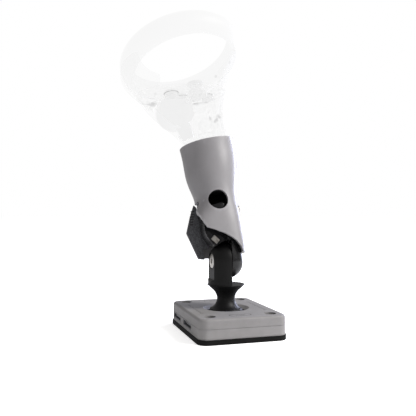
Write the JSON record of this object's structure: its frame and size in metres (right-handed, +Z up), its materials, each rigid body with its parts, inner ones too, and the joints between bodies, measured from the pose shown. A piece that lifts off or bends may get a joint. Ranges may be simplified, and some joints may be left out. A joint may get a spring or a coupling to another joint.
{
  "type": "vr motion controller",
  "caption": "Hand controller with tracking ring, thumbstick, buttons and trigger, standing in the cup of a sprung desktop joystick stand with a leaning wrist hinge.",
  "frame": {"origin": "bottom centre of the rubber foot", "axes": "+Z up, -X is forward (the way the cup and controller pitch), +Y to the user's right, towards which the wrist leans"},
  "size_m": [0.1122, 0.1231, 0.2466],
  "materials": {
    "foot_rubber": "matte",
    "case_grey": "fine texture",
    "screw_steel": "brushed",
    "ballast_iron": "painted",
    "board_green": "solder mask",
    "socket_steel": "plated",
    "inner_black": "matte",
    "spring_steel": "drawn wire",
    "magnet_nickel": "plated",
    "stem_black": "matte",
    "washer_brass": "plain",
    "knuckle_black": "satin gloss",
    "sleeve_grey": "satin",
    "guard_grey": "speckled rough",
    "liner_rubber": "soft",
    "shell_white": "translucent satin",
    "ring_white": "translucent satin",
    "lamp_violet": "clear",
    "button_grey": "satin",
    "stick_rubber": "soft",
    "battery_wrap": "shrink wrap"
  },
  "bodies": {
    "base": {"foot_mat": "foot_rubber", "lower_case": "case_grey", "upper_cover": "case_grey", "cover_screws": "screw_steel", "ballast_weights": "ballast_iron", "main_board": "board_green", "port_sockets": "socket_steel", "bearing_posts": "inner_black", "sensor_board": "board_green", "centering_spring": "spring_steel"},
    "gimbal": {"gimbal_ring": "inner_black", "roll_pins": "screw_steel", "pitch_pins": "screw_steel"},
    "stem": {"stem_yoke": "stem_black", "sensor_magnet": "magnet_nickel", "pivot_bolt": "screw_steel", "pivot_nut": "screw_steel", "friction_washer": "washer_brass"},
    "wrist": {"knuckle": "knuckle_black", "clamp_nut": "screw_steel", "cup_sleeve": "sleeve_grey", "side_guard": "guard_grey", "cup_liner": "liner_rubber", "sleeve_screws": "screw_steel"},
    "controller": {"handle_shell_left": "shell_white", "handle_shell_right": "shell_white", "shell_screws": "screw_steel", "face_plate": "shell_white", "ring_outer": "ring_white", "ring_inner": "ring_white", "ring_lights": "lamp_violet", "front_bridge": "shell_white", "rear_bridge": "shell_white", "stick_module": "inner_black", "button_board": "board_green", "button_domes": "socket_steel", "trigger_pin": "screw_steel", "battery": "battery_wrap", "controller_board": "board_green", "haptic_motor": "socket_steel"},
    "stick_gimbal": {"stick_yoke": "inner_black"},
    "stick": {"stick_dome": "stick_rubber"},
    "stick_top": {"stick_cap": "stick_rubber"},
    "face_button_a": {"button_a": "button_grey"},
    "face_button_b": {"button_b": "button_grey"},
    "menu_key": {"menu_button": "button_grey"},
    "trigger_lever": {"trigger": "button_grey"},
    "grip_paddle": {"grip_button": "button_grey"}
  },
  "joints": [
    {"name": "base_roll", "type": "hinge", "parent": "base", "child": "gimbal", "pos_m": [0, 0, 0.0105], "axis": [1, 0, 0], "range_deg": [-12, 12], "stiffness_Nm_per_rad": 4},
    {"name": "base_pitch", "type": "hinge", "parent": "gimbal", "child": "stem", "pos_m": [0, 0, 0.0105], "axis": [0, 1, 0], "range_deg": [-12, 12], "stiffness_Nm_per_rad": 4},
    {"name": "wrist_tilt", "type": "hinge", "parent": "stem", "child": "wrist", "pos_m": [0, 0, 0.0547], "axis": [-1, 0, 0], "range_deg": [-35, 15]},
    {"name": "controller_lift", "type": "slide", "parent": "wrist", "child": "controller", "axis": [-0.1045, 0.1898, 0.9762], "range_m": [0, 0.04]},
    {"name": "stick_pitch", "type": "hinge", "parent": "controller", "child": "stick_gimbal", "pos_m": [-0.0161, 0.02539, 0.1853], "axis": [0, 0.9816, -0.1908], "range_deg": [-12, 12], "stiffness_Nm_per_rad": 0.05},
    {"name": "stick_roll", "type": "hinge", "parent": "stick_gimbal", "child": "stick", "pos_m": [-0.0161, 0.02539, 0.1853], "axis": [0.9945, 0.0199, 0.1026], "range_deg": [-12, 12], "stiffness_Nm_per_rad": 0.05},
    {"name": "stick_click", "type": "slide", "parent": "stick", "child": "stick_top", "axis": [0.1045, -0.1898, -0.9762], "range_m": [0, 0.0005], "stiffness_N_per_m": 1500, "springref_m": -0.0005},
    {"name": "press_button_a", "type": "slide", "parent": "controller", "child": "face_button_a", "axis": [0.1045, -0.1898, -0.9762], "range_m": [0, 0.0008], "stiffness_N_per_m": 1200, "springref_m": -0.0005},
    {"name": "press_button_b", "type": "slide", "parent": "controller", "child": "face_button_b", "axis": [0.1045, -0.1898, -0.9762], "range_m": [0, 0.0008], "stiffness_N_per_m": 1200, "springref_m": -0.0005},
    {"name": "press_menu", "type": "slide", "parent": "controller", "child": "menu_key", "axis": [0.1045, -0.1898, -0.9762], "range_m": [0, 0.0006], "stiffness_N_per_m": 1200, "springref_m": -0.0005},
    {"name": "trigger_pull", "type": "hinge", "parent": "controller", "child": "trigger_lever", "pos_m": [-0.02635, 0.02411, 0.17872], "axis": [0, -0.9816, 0.1908], "range_deg": [0, 14], "stiffness_Nm_per_rad": 0.1, "springref_deg": -8.59},
    {"name": "grip_squeeze", "type": "slide", "parent": "controller", "child": "grip_paddle", "axis": [0.6191, 0.7806, -0.0855], "range_m": [0, 0.0025], "stiffness_N_per_m": 700, "springref_m": -0.001}
  ]
}
